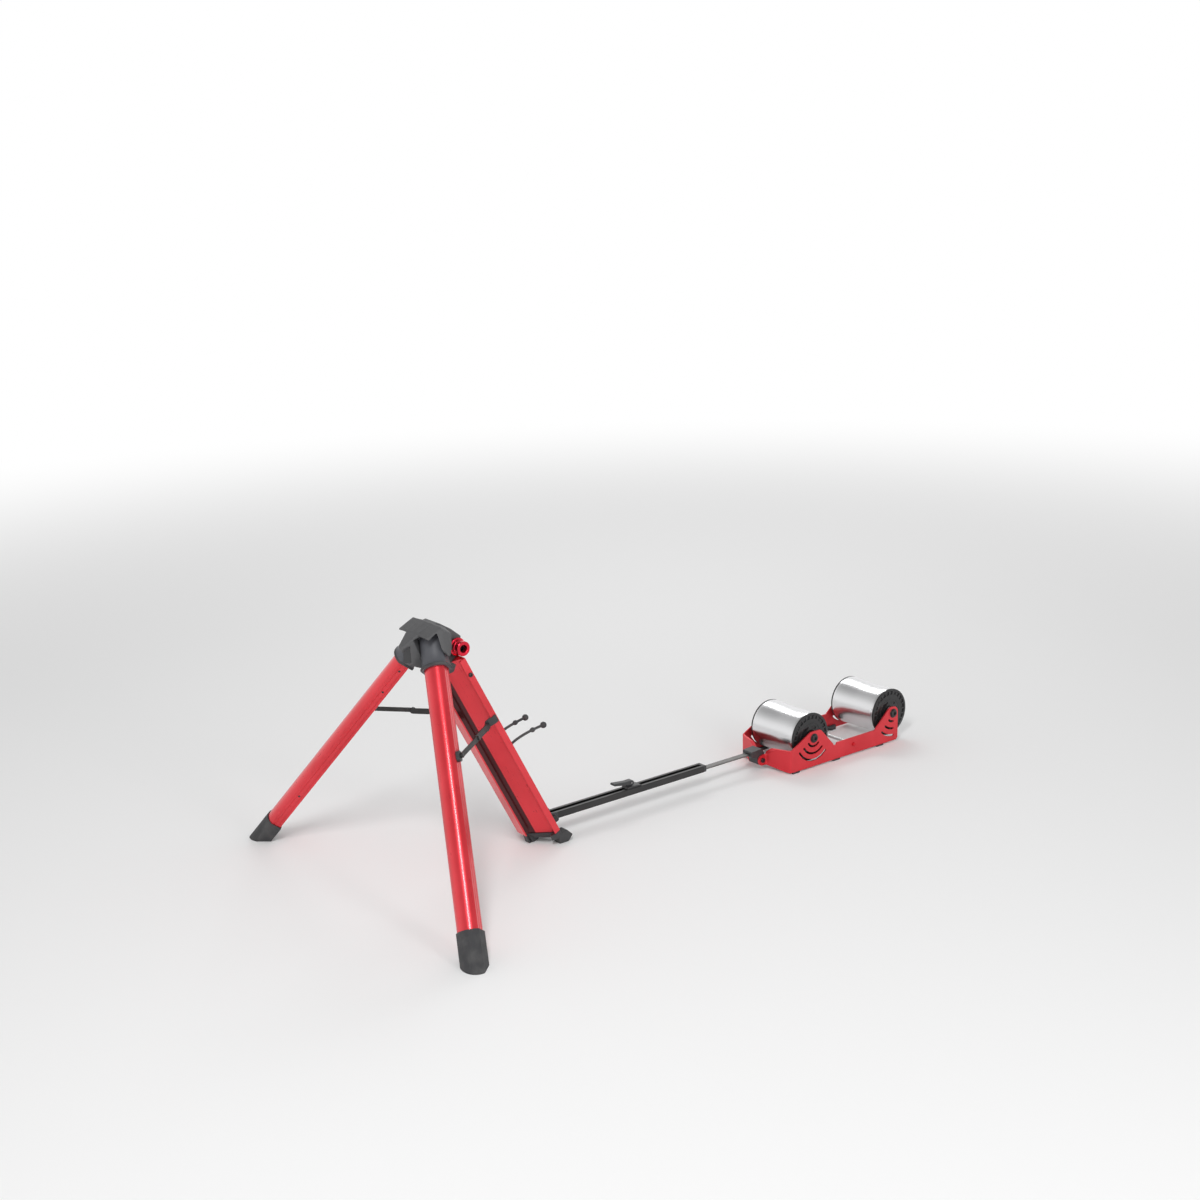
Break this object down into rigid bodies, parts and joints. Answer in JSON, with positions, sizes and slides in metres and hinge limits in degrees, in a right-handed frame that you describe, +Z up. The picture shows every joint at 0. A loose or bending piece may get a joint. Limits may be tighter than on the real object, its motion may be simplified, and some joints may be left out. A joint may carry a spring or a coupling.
{
  "type": "fork mount roller trainer",
  "caption": "Folding bicycle trainer: a tripod with a fork axle mount, a telescoping rail, and a hinged frame with waisted roller drums for the rear wheel.",
  "frame": {"origin": "centre of the part's box, on the floor", "axes": "+X from the tripod to the rollers, which is the way the bicycle's rear wheel lies; +Y to the rider's right side; +Z up"},
  "size_m": [1.4262, 0.8166, 0.4952],
  "materials": {
    "red_anodised": "red anodised, satin",
    "red_sheet": "flat red powder coat",
    "black_casting": "fine-textured dark grey coating",
    "black_plastic": "smooth moulded",
    "black_rubber": "matte",
    "black_anodised": "black anodised",
    "grey_steel": "dark grey, satin",
    "bright_steel": "bright zinc",
    "turned_aluminium": "turned, polished"
  },
  "bodies": {
    "stand": {"head_casting": "black_casting", "rear_leg": "red_anodised", "rear_leg_foot": "black_plastic", "axle_tube": "grey_steel", "left_axle_adapter": "red_anodised", "right_axle_adapter": "red_anodised", "rail_bracket": "black_plastic", "rail_hinge_pin": "black_anodised", "left_hinge_pin": "bright_steel", "right_hinge_pin": "bright_steel", "left_brace_lug": "black_plastic", "right_brace_lug": "black_plastic", "left_lug_rivet": "black_anodised", "right_lug_rivet": "black_anodised", "left_tie_strap": "black_rubber", "right_tie_strap": "black_rubber"},
    "left_leg": {"left_front_leg": "red_anodised", "left_leg_hood": "black_plastic", "left_leg_foot": "black_rubber", "left_brace_knuckle": "black_plastic", "left_knuckle_rivet": "black_anodised"},
    "left_front_link": {"left_brace_front_link": "grey_steel", "left_middle_rivet": "black_anodised"},
    "left_rear_link": {"left_brace_rear_link": "grey_steel"},
    "right_leg": {"right_front_leg": "red_anodised", "right_leg_hood": "black_plastic", "right_leg_foot": "black_rubber", "right_brace_knuckle": "black_plastic", "right_knuckle_rivet": "black_anodised"},
    "right_front_link": {"right_brace_front_link": "grey_steel", "right_middle_rivet": "black_anodised"},
    "right_rear_link": {"right_brace_rear_link": "grey_steel"},
    "rail": {"outer_rail": "black_anodised", "rail_end_guide": "black_plastic", "clamp_bolt": "bright_steel", "clamp_saddle": "black_plastic"},
    "clamp_lever": {"clamp_lever": "black_plastic"},
    "bar": {"inner_bar": "grey_steel", "bar_clevis": "black_plastic", "clevis_pin": "black_anodised"},
    "roller_frame": {"left_side_plate": "red_sheet", "right_side_plate": "red_sheet", "frame_tie_rod": "black_anodised", "left_foot_strip": "black_rubber", "right_foot_strip": "black_rubber", "front_axle": "bright_steel", "rear_axle": "bright_steel", "front_magnet_carrier": "grey_steel", "rear_magnet_carrier": "grey_steel"},
    "front_roller": {"front_drum": "turned_aluminium", "front_drum_left_cap": "black_plastic", "front_drum_right_cap": "black_plastic", "front_drum_left_bearing": "bright_steel", "front_drum_right_bearing": "bright_steel"},
    "rear_roller": {"rear_drum": "turned_aluminium", "rear_drum_left_cap": "black_plastic", "rear_drum_right_cap": "black_plastic", "rear_drum_left_bearing": "bright_steel", "rear_drum_right_bearing": "bright_steel"}
  },
  "joints": [
    {"name": "left_leg_fold", "type": "hinge", "parent": "stand", "child": "left_leg", "pos_m": [-0.52225, -0.0348, 0.44283], "axis": [0.6223, -0.7145, 0.3198], "range_deg": [0, 57.5]},
    {"name": "left_front_link_turn", "type": "hinge", "parent": "left_leg", "child": "left_front_link", "pos_m": [-0.58339, -0.15837, 0.28575], "axis": [0.6223, -0.7145, 0.3198], "range_deg": [0, 55.8]},
    {"name": "left_rear_link_turn", "type": "hinge", "parent": "stand", "child": "left_rear_link", "pos_m": [-0.43709, -0.03515, 0.27635], "axis": [0.6223, -0.7145, 0.3198], "range_deg": [-67.1, 0]},
    {"name": "right_leg_fold", "type": "hinge", "parent": "stand", "child": "right_leg", "pos_m": [-0.52225, 0.0348, 0.44283], "axis": [-0.6223, -0.7145, -0.3198], "range_deg": [0, 57.5]},
    {"name": "right_front_link_turn", "type": "hinge", "parent": "right_leg", "child": "right_front_link", "pos_m": [-0.58339, 0.15837, 0.28575], "axis": [-0.6223, -0.7145, -0.3198], "range_deg": [0, 55.8]},
    {"name": "right_rear_link_turn", "type": "hinge", "parent": "stand", "child": "right_rear_link", "pos_m": [-0.43709, 0.03515, 0.27635], "axis": [-0.6223, -0.7145, -0.3198], "range_deg": [-67.1, 0]},
    {"name": "rail_fold", "type": "hinge", "parent": "stand", "child": "rail", "pos_m": [-0.24879, 0, 0.0432], "axis": [0, -1, 0], "range_deg": [0, 102]},
    {"name": "clamp_lever_turn", "type": "hinge", "parent": "rail", "child": "clamp_lever", "pos_m": [-0.04179, 0, 0.0599], "axis": [0, 1, 0], "range_deg": [0, 95]},
    {"name": "bar_slide", "type": "slide", "parent": "rail", "child": "bar", "axis": [1, 0, 0], "range_m": [-0.125, 0.1]},
    {"name": "roller_frame_fold", "type": "hinge", "parent": "bar", "child": "roller_frame", "pos_m": [0.31421, 0, 0.024], "axis": [0, 1, 0], "range_deg": [0, 180]},
    {"name": "front_drum_spin", "type": "hinge", "parent": "roller_frame", "child": "front_roller", "pos_m": [0.41031, 0, 0.0679], "axis": [0, 1, 0], "continuous": true},
    {"name": "rear_drum_spin", "type": "hinge", "parent": "roller_frame", "child": "rear_roller", "pos_m": [0.65961, 0, 0.0679], "axis": [0, 1, 0], "continuous": true}
  ],
  "couplings": [
    {"joint": "left_front_link_turn", "follows": "left_leg_fold", "ratio": 0.96626},
    {"joint": "left_rear_link_turn", "follows": "left_leg_fold", "ratio": -1.1621},
    {"joint": "right_front_link_turn", "follows": "right_leg_fold", "ratio": 0.96626},
    {"joint": "right_rear_link_turn", "follows": "right_leg_fold", "ratio": -1.1621}
  ]
}
